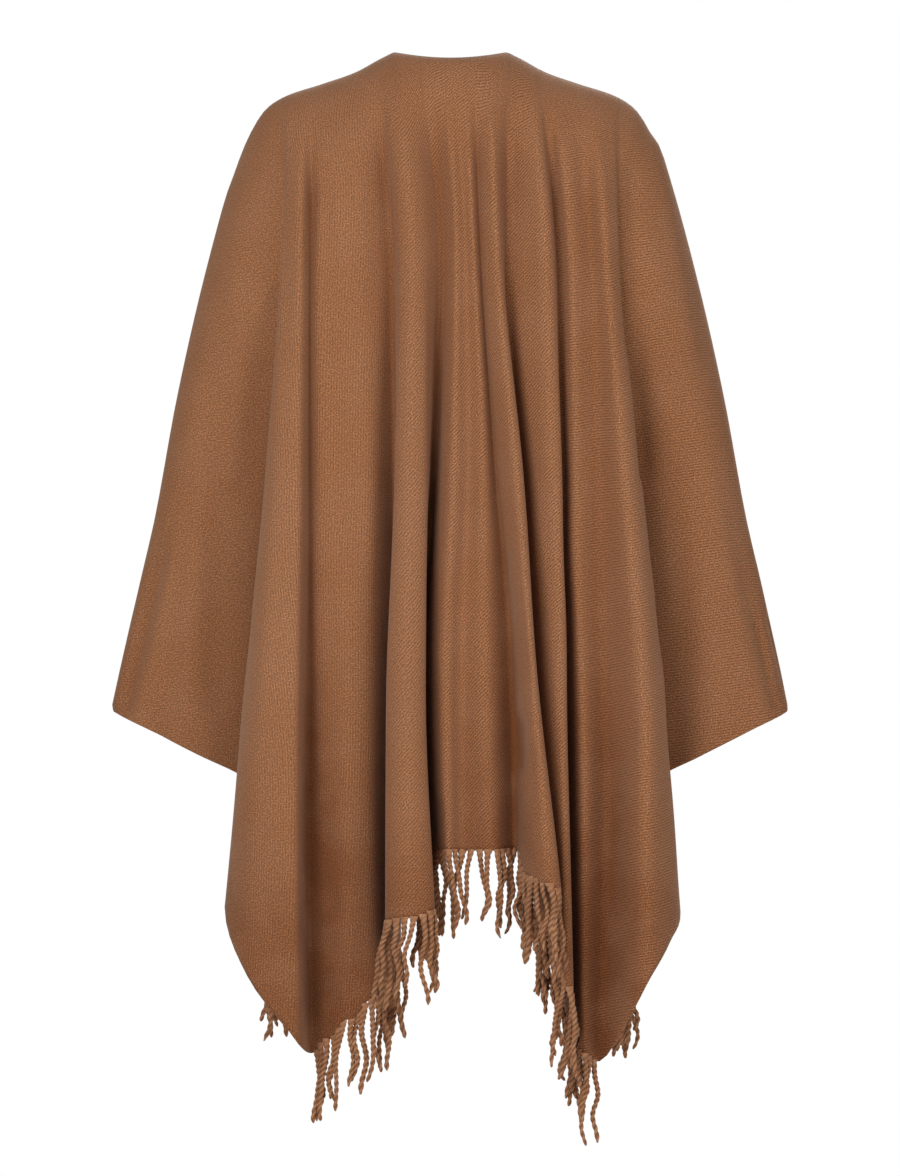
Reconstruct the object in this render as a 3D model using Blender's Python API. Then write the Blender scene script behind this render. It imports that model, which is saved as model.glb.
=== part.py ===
"""Fringe poncho of brushed twill, worn open at the front, seen from behind in its photo.

Each panel is a sheet that hangs from the shoulder and arm line. Its folds are rows of a table:
where each fold leaves the line, how it runs down in quarters, and where it ends at the hem or
at the selvedge. The sheet runs smoothly from row to row and is then made into a wall.
Metres, +Z up, the back faces -Y. The origin is at the neck, level with its highest points.
"""
import math

import bmesh
import bpy
import numpy as np

MM = 0.001

# Cloth
WALL = 2.0 * MM            # brushed twill with its nap
SEAM_GAP = 0.3 * MM        # between the panels along the shoulder and arm line
LEAD = 2.4 * MM            # flat strip beside that line before the cloth falls
ROUND_DROP = 130 * MM      # height over which the cloth rounds from the line to its full depth
FOLDS_START = 10 * MM      # below the line, where the folds start to stand out from the yoke
FOLDS_OPEN = 125 * MM      # and where they have the depth of their table
NECK_HALF_WIDTH = 57 * MM
NECK_DEPTH = 50 * MM       # from the shoulder line back to the neck edge
NECK_DIP = 8 * MM          # the neck edge is lowest at the centre back
ROWS = 14                  # from the line down to the hem
BESIDE_FOLD = 0.22         # columns lie this part of a row to either side of each fold
HEM_END = 0.1              # the fringe stops this part of a row before the ends of its hem

# Fringe
FRINGE_GAP = 1.2 * MM      # below the hem
BACKING_HEIGHT = 6 * MM
ROOT_DEPTH = 1.5 * MM      # of a strand in the backing
STRAND_SPACING = 12.6 * MM
STRAND_CLEAR = 9.0 * MM    # strands that would hang closer than this are left out
CLOTH_CLEAR = 4.5 * MM     # the same where cloth hangs lower beside them
STRAND_RADIUS = 1.9 * MM
STRAND_SIDES = 3
STRAND_BENDS = 2

# Shoulder and arm line, the same on both sides: out from the centre, and down from the neck points
OUTLINE = [
    ("neck point", 57, 0),
    ("neck side", 71, 7),
    ("neck foot", 95, 20),
    ("shoulder", 129, 32),
    ("shoulder end", 165, 44),
    ("shoulder point", 184, 56),
    ("arm top", 200, 80),
    ("upper arm", 223, 140),
    ("upper arm", 248, 230),
    ("elbow", 275, 350),
    ("elbow", 297, 470),
    ("lower arm", 311, 530),
    ("lower arm", 331, 620),
    ("wrist", 339, 660),
]

# Depth of the smooth yoke at that line, before the folds open: out from the centre, and depth
YOKE = [
    ("back of the neck", 0, 103),
    ("shoulder blade", 140, 101),
    ("shoulder end", 160, 95),
    ("shoulder point", 178, 86),
    ("arm top", 206, 78),
    ("upper arm", 234, 60),
    ("upper arm", 262, 48),
    ("elbow", 287, 37),
    ("lower arm", 312, 31),
    ("wrist", 338, 29),
]

# Back panel in mm. line: where the fold leaves the shoulder line, to the right of the centre.
# x: the same a quarter, half and three quarters of the way down, and at the end.
# depth: behind the shoulder line at the same four places. drop: of the end, below the neck points.
BACK_FOLDS = [
    # name                    line    x25    x50    x75    end  d25 d50 d75 end drop
    ("left wrist",          -338,   -338,   -338,   -338, -337.5,   30,  30,  30,  30,  662),
    ("left cuff",           -330,   -330,   -330,   -331,   -331,   30,  32,  34,  36,  666),
    ("left forearm",        -312,   -311,   -310,   -309,   -308,   32,  38,  42,  46,  677),
    ("left elbow",          -287,   -285,   -284,   -282,   -280,   38,  48,  52,  54,  691),
    ("left arm",            -262,   -259,   -256,   -253,   -250,   48,  54,  56,  60,  706),
    ("left arm back",       -234,   -228,   -226,   -225,   -222,   60,  52,  50,  52,  719),
    ("left wing inside",    -206,   -188,   -192,   -201,   -198,   78,  50,  44,  44,  731),
    ("left hidden back",    -178,   -169,   -166,   -162,   -156,   84,  50,  28,  26,  748),
    ("left hidden turn",    -168,   -163,   -156,   -146,   -138,   87,  60,  40,  36,  770),
    ("left outer edge",     -160,   -170,   -186,   -205,   -224,   97, 104, 114, 120,  855),
    ("left outer front",    -155,   -162,   -176,   -190,   -200,  107, 131, 160, 170,  922),
    ("left outer ridge",    -148,   -150,   -152,   -154,   -153,  115, 141, 175, 189,  983),
    ("left corner",         -139,   -139,   -140,   -142,   -138,   97, 107, 119, 126, 1000),
    ("left small ridge",    -130,   -132,   -131,   -125,   -122,  107, 118, 132, 140,  986),
    ("left panel",          -112,   -111,   -102,   -100,   -100,  113, 125, 145, 153,  965),
    ("left panel side",      -92,    -86,    -80,    -80,    -78,  108, 121, 139, 148,  946),
    ("left deep valley",     -78,    -61,    -57,    -57,    -57,   92,  91,  90,  92,  908),
    ("left deep turn",       -72,    -55,    -52,    -51,    -50,   95,  97,  98, 100,  900),
    ("strip left edge",      -66,    -51,    -55,    -63,    -64,  109, 134, 168, 186,  867),
    ("strip face",           -58,    -38,    -40,    -43,    -40,  118, 148, 190, 210,  863),
    ("strip right edge",     -46,    -26,    -24,    -25,    -16,  112, 138, 172, 190,  856),
    ("centre turn",          -30,    -13,    -20,    -35,    -32,   94,  97,  99, 102,  826),
    ("centre valley",        -22,     -7,    -14,    -27,    -24,   92,  91,  90,  92,  820),
    ("centre left edge",     -14,     -1,     -7,    -17,    -12,  100, 112, 130, 140,  799),
    ("centre ridge",          -6,      6,      4,     -4,     -2,  109, 127, 150, 164,  798),
    ("centre trough",          4,     15,     18,     12,     12,  104, 118, 139, 151,  798),
    ("centre far ridge",      14,     23,     32,     34,     40,  109, 127, 150, 164,  798),
    ("right valley",          24,     30,     43,     59,     64,   98, 112, 131, 137,  797),
    ("neck fold left",        31,     36,     51,     70,     76,  107, 127, 159, 173,  823),
    ("neck fold face",        38,     46,     64,     81,     97,  116, 145, 184, 202,  830),
    ("neck fold right",       44,     51,     71,     86,    108,  110, 138, 176, 192,  838),
    ("right recess turn",     58,     54,     64,     73,     84,   93,  94,  98, 102,  869),
    ("right recess",          66,     60,     70,     80,     93,   93,  95,  98, 102,  869),
    ("right soft ridge",      72,     74,     84,     94,    107,  102, 119, 142, 152,  902),
    ("right soft face",       80,     96,    104,    110,    115,  114, 134, 162, 174,  932),
    ("right soft edge",       84,    104,    111,    116,    121,  109, 129, 156, 168,  940),
    ("right fold turn",       90,    107,    108,    109,    113,   95,  98, 102, 106,  962),
    ("right fold back",       96,    112,    114,    116,    121,   94,  97, 100, 104,  965),
    ("right panel",          106,    122,    126,    132,    132,  110, 121, 139, 147, 1000),
    ("right corner",         126,    143,    149,    155,    148,   98, 108, 121, 128, 1008),
    ("right outer ridge",    143,    158,    176,    191,    192,  114, 141, 174, 188,  932),
    ("right outer front",    152,    166,    188,    207,    216,  106, 128, 152, 162,  889),
    ("right outer edge",     160,    170,    192,    213,    228,   97, 104, 114, 120,  860),
    ("right hidden turn",    168,    163,    158,    148,    140,   87,  60,  40,  36,  770),
    ("right hidden back",    178,    170,    168,    164,    158,   84,  50,  28,  26,  748),
    ("right wing inside",    206,    189,    194,    202,    200,   78,  50,  44,  44,  731),
    ("right arm back",       234,    229,    227,    226,    223,   60,  52,  50,  52,  719),
    ("right arm",            262,    259,    256,    253,    250,   48,  54,  56,  60,  706),
    ("right elbow",          287,    285,    284,    282,    280,   38,  48,  52,  54,  691),
    ("right forearm",        312,    311,    310,    309,    308,   32,  38,  42,  46,  677),
    ("right cuff",           330,    330,    330,    331,    331,   30,  32,  34,  36,  666),
    ("right wrist",          338,    338,    338,    338,  337.5,   30,  30,  30,  30,  662),
]

# Front panel in mm, from its open edge outwards; x is out from the centre and depth is forwards.
# The right panel hangs lower by the last column.
FRONT_FOLDS = [
    # name          line  x25  x50  x75  end  d25  d50  d75  end  drop  lower
    ("open edge",   57.5, 62,  68,  72,  76,  98, 124, 138, 144, 806, 0),
    ("edge ridge",  66,   72,  80,  86,  92,  106, 150, 190, 206, 812, 2),
    ("edge valley", 78,   86,  96,  104, 112, 97, 106, 108, 110, 832, 6),
    ("mid ridge",   92,   101, 113, 124, 134, 106, 150, 192, 208, 856, 12),
    ("mid valley",  106,  115, 128, 141, 152, 98, 108, 110, 112, 880, 18),
    ("side ridge",  122,  129, 143, 157, 170, 105, 144, 182, 196, 900, 22),
    ("side valley", 136,  142, 155, 170, 181, 99, 116, 130, 138, 904, 22),
    ("corner",      146,  152, 167, 184, 193, 102, 126, 150, 158, 896, 18),
    ("outer edge",  158,  162, 178, 197, 214, 94, 99, 110, 118, 826, 4),
    ("hidden turn", 168,  159, 154, 144, 136, 86, 58, 38, 34, 764, 0),
    ("hidden back", 178,  168, 165, 160, 154, 82, 48, 26, 24, 744, 0),
    ("wing inside", 206,  190, 193, 200, 198, 76, 48, 42, 42, 728, 0),
    ("arm inside",  234,  229, 227, 225, 222, 58, 50, 48, 50, 716, 0),
    ("arm",         262,  259, 256, 253, 250, 46, 52, 54, 58, 703, 0),
    ("elbow",       287,  285, 284, 282, 280, 36, 46, 50, 52, 688, 0),
    ("forearm",     312,  311, 310, 309, 308, 30, 36, 40, 44, 674, 0),
    ("cuff",        330,  330, 330, 331, 331, 28, 30, 32, 34, 664, 0),
    ("wrist",       338,  338, 338, 338, 337.5, 28, 28, 28, 28, 661, 0),
]

# Strand lengths in mm, and how far a strand's end swings
BACK_STRAND = 82
FRONT_STRAND = 86
STRAND_SWING = 2.2

CLOTH_COLOUR = (0.34, 0.16, 0.075, 1.0)
FRINGE_COLOUR = (0.31, 0.145, 0.07, 1.0)


def smooth(knots, values, at):
    """Run smoothly through values given at rising knots, with no overshoot between them.

    values may have further axes; each is run through on its own.
    """
    knots = np.asarray(knots, float)
    values = np.asarray(values, float)
    at = np.clip(np.asarray(at, float), knots[0], knots[-1])
    gap = np.diff(knots).reshape((-1,) + (1,) * (values.ndim - 1))
    slope = np.diff(values, axis=0) / gap
    tangent = np.zeros_like(values)
    before, after = slope[:-1], slope[1:]
    same_way = before * after > 0
    weight_a, weight_b = 2 * gap[1:] + gap[:-1], gap[1:] + 2 * gap[:-1]
    safe_before = np.where(same_way, before, 1.0)
    safe_after = np.where(same_way, after, 1.0)
    mean = (weight_a + weight_b) / (weight_a / safe_before + weight_b / safe_after)
    tangent[1:-1] = np.where(same_way, mean, 0.0)
    tangent[0], tangent[-1] = slope[0], slope[-1]
    cell = np.clip(np.searchsorted(knots, at, side="right") - 1, 0, len(knots) - 2)
    width = (knots[cell + 1] - knots[cell]).reshape((-1,) + (1,) * (values.ndim - 1))
    part = ((at - knots[cell]) / (knots[cell + 1] - knots[cell])).reshape(width.shape)
    a, b = values[cell], values[cell + 1]
    ta, tb = tangent[cell] * width, tangent[cell + 1] * width
    return (a * (1 + 2 * part) * (1 - part) ** 2 + ta * part * (1 - part) ** 2
            + b * part ** 2 * (3 - 2 * part) - tb * part ** 2 * (1 - part))


def line_drop(x):
    """Drop of the shoulder and arm line, or of the neck edge, at x from the centre."""
    out = np.array([row[1] for row in OUTLINE]) * MM
    down = np.array([row[2] for row in OUTLINE]) * MM
    neck = NECK_DIP * (1 - np.minimum(np.abs(x) / NECK_HALF_WIDTH, 1) ** 2)
    return np.where(np.abs(x) < NECK_HALF_WIDTH, neck, smooth(out, down, np.abs(x)))


def hem_drop(folds, hem, across):
    """Drop of a panel's lower edge: level at each fold of the hem, even along the selvedge."""
    rows = np.arange(len(folds))
    first, last = hem
    cell = np.clip(np.floor(across), 0, len(folds) - 2)
    part = across - cell
    eased = part ** 3 * (10 - 15 * part + 6 * part ** 2)
    level = np.interp(cell + eased, rows, folds[:, 9])
    return np.where((across > first) & (across < last), level, smooth(rows, folds[:, 9], across))


def sheet_points(folds, hem, across, down, facing, neck_depth):
    """Middle surface of a panel at rows of its fold table (across) and parts of its length (down).

    folds holds a line position, four x, four depths and a drop per row, in metres, and hem the
    first and last row of the fringed hem. The first of down is the edge at the shoulder line and
    the second ends the flat lead beside it; past 1 the surface runs straight on. Returns points
    as (down, across, 3).
    """
    row = np.arange(len(folds))
    column = smooth(row, folds, across)
    line, x_own, depth_own = column[:, 0], column[:, 1:5], column[:, 5:9]
    drop_end = hem_drop(folds, hem, across)
    down = np.asarray(down, float)
    run = np.clip((down - down[1]) / (1 - down[1]), 0, None)
    inside = np.minimum(run, 1)
    x = smooth([0, 0.25, 0.5, 0.75, 1], np.vstack([line, x_own.T]), inside)
    depth = smooth([0.25, 0.5, 0.75, 1], depth_own.T, inside)
    top = line_drop(line)
    drop = top + (drop_end - top) * run[:, None]
    yoke = smooth([row[1] * MM for row in YOKE], [row[2] * MM for row in YOKE], np.abs(line))
    opened = np.clip((drop - top - FOLDS_START) / (FOLDS_OPEN - FOLDS_START), 0, 1)
    depth = yoke + (depth - yoke) * opened ** 2 * (3 - 2 * opened)
    beyond = np.clip(run - 1, 0, None)[:, None]
    x = x + beyond * (x_own[:, 3] - x_own[:, 2]) * 4
    fallen = np.minimum((drop - top) / ROUND_DROP, 1)
    rounding = np.sqrt(1 - (1 - fallen) ** 2)
    neck = neck_depth * np.clip(1 - (line / NECK_HALF_WIDTH) ** 2, 0, None) ** 0.75
    lead = np.where(down == down[0], SEAM_GAP / 2, LEAD)[:, None]
    y = facing * (lead + neck + (depth - neck) * rounding)
    return np.stack([x, y, -drop], axis=2)


def down_rows():
    """Parts of the length at which a panel has its rows, closer together at the shoulder line."""
    even = np.linspace(0, 1, ROWS)
    return np.concatenate([[-0.004], 0.45 * even ** 1.8 + 0.55 * even])


def hem_rows(rows):
    """First and last row of a panel's fringed hem; a front's starts at its open edge."""
    corners = [index for index, row in enumerate(rows) if "corner" in row[0]]
    return (corners[0], corners[-1]) if len(corners) > 1 else (0, corners[0])


def fold_table(rows, side=1, lower=0):
    """Numbers of a fold table in metres; side mirrors x, lower adds the last column to the drop."""
    table = np.array([row[1:11] for row in rows], float)
    if lower:
        table[:, 9] += [row[11] for row in rows]
    table[:, 0:5] *= side
    return table * MM


def directions(points, axis):
    """Unit way along a grid of points, halved between the steps before and after each point."""
    step = np.diff(points, axis=axis)
    step = step / np.linalg.norm(step, axis=2, keepdims=True)
    first = np.take(step, [0], axis=axis)
    last = np.take(step, [-1], axis=axis)
    mean = np.concatenate([first, step], axis=axis) + np.concatenate([step, last], axis=axis)
    return mean / np.linalg.norm(mean, axis=2, keepdims=True)


def sheet_normals(points):
    """Unit normals of a grid of points."""
    across = np.cross(directions(points, 0), directions(points, 1))
    return across / np.linalg.norm(across, axis=2, keepdims=True)


def wall_mesh(points, normals, thickness):
    """Points and faces of a closed wall about a sheet: two skins and the rim between them."""
    down, across = points.shape[:2]
    near = points + normals * thickness / 2
    far = points - normals * thickness / 2
    both = np.concatenate([near.reshape(-1, 3), far.reshape(-1, 3)])
    index = np.arange(down * across).reshape(down, across)
    a, b = index[:-1, :-1].ravel(), index[1:, :-1].ravel()
    c, d = index[1:, 1:].ravel(), index[:-1, 1:].ravel()
    half = down * across
    faces = np.concatenate([np.stack([a, b, c, d], 1), np.stack([d, c, b, a], 1) + half])
    ring = np.concatenate([index[0, :], index[1:, -1], index[-1, -2::-1], index[-2:0:-1, 0]])
    following = np.roll(ring, -1)
    rim = np.stack([ring, following, following + half, ring + half], 1)
    return both, np.concatenate([faces, rim]).tolist()


def new_object(name, points, faces, collection):
    """Mesh object from points and faces."""
    mesh = bpy.data.meshes.new(name)
    mesh.from_pydata([tuple(point) for point in points], [], faces)
    mesh.update()
    made = bpy.data.objects.new(name, mesh)
    collection.objects.link(made)
    return made


def turn_outward(made):
    """Wind a closed mesh so that its faces point out."""
    work = bmesh.new()
    work.from_mesh(made.data)
    if work.calc_volume(signed=True) < 0:
        bmesh.ops.reverse_faces(work, faces=work.faces)
    work.to_mesh(made.data)
    work.free()


def material(name, colour, roughness):
    """Plain cloth material."""
    made = bpy.data.materials.new(name)
    made.use_nodes = True
    shader = made.node_tree.nodes["Principled BSDF"]
    shader.inputs["Base Color"].default_value = colour
    shader.inputs["Roughness"].default_value = roughness
    made.diffuse_color = colour
    return made


def fold_columns(folds, hem, first, last):
    """Columns between two rows of a fold table: two beside each fold, and one on a corner."""
    rows = np.arange(len(folds))
    beside = np.concatenate([rows - BESIDE_FOLD, rows + BESIDE_FOLD, hem])
    inside = np.sort(beside[(beside > first + 0.05) & (beside < last - 0.05)])
    return np.concatenate([[first], inside, [last]])


def panel_grid(folds, hem, across, facing, neck_depth):
    """Sheet of a panel with the backing strip's two rows beyond its hem, and its normals."""
    down = down_rows()
    points = sheet_points(folds, hem, across, down, facing, neck_depth)
    way = directions(points, 0)[-1]
    strip = [points[-1] + way * FRINGE_GAP, points[-1] + way * (FRINGE_GAP + BACKING_HEIGHT)]
    points = np.concatenate([points, np.stack(strip)])
    return points, sheet_normals(np.delete(points, -2, axis=0)), way


def panel(name, folds, hem, facing, neck_depth, look, collection):
    """Panel of cloth as a wall on its folded sheet."""
    across = fold_columns(folds, hem, 0, len(folds) - 1)
    points, normals, way = panel_grid(folds, hem, across, facing, neck_depth)
    made = new_object(name, *wall_mesh(points[:-2], normals[:-1], WALL), collection)
    turn_outward(made)
    for face in made.data.polygons:
        face.use_smooth = True
    made.data.materials.append(look)
    return made


def fringe(name, folds, hem, facing, length, look, collection, cutters):
    """Fringe of one hem: a narrow backing strip below the edge, with its strands fused in."""
    across = fold_columns(folds, hem, hem[0] + HEM_END, hem[1] - HEM_END)
    points, normals, way = panel_grid(folds, hem, across, facing, 0.0)
    edge = points[-3]
    rim_normals = np.stack([normals[-2], normals[-2]])
    strip = new_object(name, *wall_mesh(points[-2:], rim_normals, WALL), collection)
    turn_outward(strip)

    step = np.linalg.norm(np.diff(edge, axis=0), axis=1)
    run = np.concatenate([[0], np.cumsum(step)])
    count = int(run[-1] // STRAND_SPACING)
    places = (np.arange(count) + 0.5) * run[-1] / count
    roots = np.stack([np.interp(places, run, edge[:, k]) for k in range(3)], axis=1)
    ways = np.stack([np.interp(places, run, way[:, k]) for k in range(3)], axis=1)
    roots = roots + ways * (FRINGE_GAP + BACKING_HEIGHT - ROOT_DEPTH)
    fine = np.linspace(0, run[-1], int(run[-1] / MM))
    fine_edge = np.stack([np.interp(fine, run, edge[:, k]) for k in range(3)], axis=1)
    points, faces, kept = [], [], []
    ring = [2 * math.pi * k / STRAND_SIDES for k in range(STRAND_SIDES)]
    for index, root in enumerate(roots):
        lower = fine_edge[fine_edge[:, 2] < root[2]]
        if any(np.linalg.norm((root - other)[:2]) < STRAND_CLEAR for other in kept):
            continue
        if len(lower) and np.linalg.norm((lower - root)[:, :2], axis=1).min() < CLOTH_CLEAR:
            continue
        kept.append(root)
        own = length * (1 + 0.10 * math.sin(index * 2.4) + 0.05 * math.sin(index * 5.1))
        swing = STRAND_SWING * MM * math.sin(index * 0.9)
        start = len(points)
        for bend in range(STRAND_BENDS + 1):
            part = bend / STRAND_BENDS
            centre = root + np.array([swing * part, 0, -own * part])
            radius = STRAND_RADIUS * (1 - 0.2 * part)
            for angle in ring:
                points.append(centre + radius * np.array([math.cos(angle), math.sin(angle), 0]))
        for bend in range(STRAND_BENDS):
            for k in range(STRAND_SIDES):
                a = start + bend * STRAND_SIDES + k
                b = start + bend * STRAND_SIDES + (k + 1) % STRAND_SIDES
                faces.append((a, a + STRAND_SIDES, b + STRAND_SIDES, b))
        faces.append(tuple(start + k for k in range(STRAND_SIDES)))
        end = start + STRAND_BENDS * STRAND_SIDES
        faces.append(tuple(end + STRAND_SIDES - 1 - k for k in range(STRAND_SIDES)))
    strands = new_object(name + "_strands", points, faces, cutters)
    strands.hide_render = True
    strands.display_type = "WIRE"
    fuse = strip.modifiers.new("fuse", "BOOLEAN")
    fuse.operation = "UNION"
    fuse.solver = "EXACT"
    fuse.object = strands
    strip.data.materials.append(look)
    print(name, "strands", len(kept), "hem", round(float(run[-1]), 3))
    return strip


for old in list(bpy.data.objects):
    bpy.data.objects.remove(old, do_unlink=True)
parts = bpy.data.collections.new("parts")
cutters = bpy.data.collections.new("cutters")
bpy.context.scene.collection.children.link(parts)
bpy.context.scene.collection.children.link(cutters)

cloth = material("brushed twill", CLOTH_COLOUR, 0.9)
yarn = material("twisted yarn", FRINGE_COLOUR, 0.9)

back_folds = fold_table(BACK_FOLDS)
left_folds = fold_table(FRONT_FOLDS, side=-1)
right_folds = fold_table(FRONT_FOLDS, side=1, lower=1)

back_hem = hem_rows(BACK_FOLDS)
front_hem = hem_rows(FRONT_FOLDS)

panel("Back_Panel", back_folds, back_hem, -1, NECK_DEPTH, cloth, parts)
panel("Front_Panel_Left", left_folds, front_hem, 1, 0.0, cloth, parts)
panel("Front_Panel_Right", right_folds, front_hem, 1, 0.0, cloth, parts)

fringe("Back_Fringe", back_folds, back_hem, -1, BACK_STRAND * MM, yarn, parts, cutters)
fringe("Front_Fringe_Left", left_folds, front_hem, 1, FRONT_STRAND * MM, yarn, parts, cutters)
fringe("Front_Fringe_Right", right_folds, front_hem, 1, FRONT_STRAND * MM, yarn, parts, cutters)
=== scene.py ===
# %% [markdown]
# # A fringe poncho seen from behind
# The real poncho is one loom-wide length of brushed twill for the back and a half-width for each
# front, joined along the shoulders and arms and open down the front. Its warp ends are twisted
# into a fringe. It hangs from a wearer who isn't shown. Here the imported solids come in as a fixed
# frame, and each is then dressed by a finer piece of the same shape, so nothing needs fitting.

# %% Load the solids and keep their box
import math

import bpy
import numpy as np
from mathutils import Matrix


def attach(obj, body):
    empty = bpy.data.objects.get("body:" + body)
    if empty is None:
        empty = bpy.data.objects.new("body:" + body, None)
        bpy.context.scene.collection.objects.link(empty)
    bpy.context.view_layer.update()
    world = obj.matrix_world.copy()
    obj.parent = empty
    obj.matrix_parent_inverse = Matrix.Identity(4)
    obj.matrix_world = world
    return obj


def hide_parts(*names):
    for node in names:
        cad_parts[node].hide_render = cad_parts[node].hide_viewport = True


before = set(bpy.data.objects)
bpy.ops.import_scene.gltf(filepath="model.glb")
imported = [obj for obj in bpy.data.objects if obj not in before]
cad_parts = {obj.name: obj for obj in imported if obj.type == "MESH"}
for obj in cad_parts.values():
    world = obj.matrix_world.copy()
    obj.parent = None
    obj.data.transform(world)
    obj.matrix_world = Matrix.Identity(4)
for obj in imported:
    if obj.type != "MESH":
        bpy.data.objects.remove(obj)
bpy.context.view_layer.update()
MM = 0.001

# %% [markdown]
# ## Camera
# The photograph looks straight at the back from a good way off, so both arms look the same size
# and the hem shows no underside. A long lens does the same. One pixel of its 900 x 1176 frame is
# one millimetre here, and pixel (450.5, 50) is the neck.

# %% Camera
PHOTO_WIDTH, PHOTO_HEIGHT = 900 * MM, 1176 * MM
NECK_ACROSS, NECK_DOWN = 450.5 * MM, 50 * MM
CAMERA_BACK = 10.0
CLOTH_PLANE = 0.06         # most of what shows lies this far behind the shoulder line
SENSOR = 24                # height of the sensor in mm

camera_data = bpy.data.cameras.new("studio camera")
camera_data.sensor_fit = "VERTICAL"
camera_data.sensor_height = SENSOR
camera_data.lens = SENSOR * (CAMERA_BACK - CLOTH_PLANE) / PHOTO_HEIGHT
camera_data.clip_end = 100
camera = bpy.data.objects.new("studio camera", camera_data)
camera.location = (PHOTO_WIDTH / 2 - NECK_ACROSS, -CAMERA_BACK, NECK_DOWN - PHOTO_HEIGHT / 2)
camera.rotation_euler = (math.radians(90), 0, 0)
bpy.context.scene.collection.objects.link(camera)
bpy.context.scene.camera = camera
print("lens", round(camera_data.lens, 1), "mm")

# %% [markdown]
# ## How the cloth hangs
# Cloth that hangs from a line falls in folds that start at the line and widen towards the hem. A
# cloth simulation gives such folds, but not these. So each fold is a row of a table, read off
# the photograph: where it leaves the shoulder line, its place at each quarter of the way down,
# and how far it stands out there. The hidden front gets folds of the same kind.

# %% Shoulder and arm line
SEAM_GAP = -0.3 * MM       # the walls meet at the seam, so that no light shows through
LEAD = 2.4 * MM            # beside the seam the cloth stands this far out from the line
ROUND_DROP = 130 * MM      # down to here it rounds over the shoulder
NECK_HALF_WIDTH = 57 * MM
NECK_DEPTH = 50 * MM       # the neck's edge lies this far behind the line
NECK_DIP = 8 * MM          # and this far below the neck points, in its middle

# out from the centre, and down from the neck points
OUTLINE = [
    ("neck point", 57, 0),
    ("neck side", 71, 7),
    ("neck foot", 95, 20),
    ("shoulder", 129, 32),
    ("shoulder end", 165, 44),
    ("shoulder point", 184, 56),
    ("arm top", 200, 80),
    ("upper arm", 223, 140),
    ("upper arm", 248, 230),
    ("elbow", 275, 350),
    ("elbow", 297, 470),
    ("lower arm", 311, 530),
    ("lower arm", 331, 620),
    ("wrist", 339, 660),
]

# depth of the smooth yoke at that line, before the folds open: out from the centre, and depth
YOKE = [
    ("back of the neck", 0, 103),
    ("shoulder blade", 140, 101),
    ("shoulder end", 160, 95),
    ("shoulder point", 178, 86),
    ("arm top", 206, 78),
    ("upper arm", 234, 60),
    ("upper arm", 262, 48),
    ("elbow", 287, 37),
    ("lower arm", 312, 31),
    ("wrist", 338, 29),
]
print(len(OUTLINE), "points on the shoulder and arm line,", len(YOKE), "on the yoke")

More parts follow.
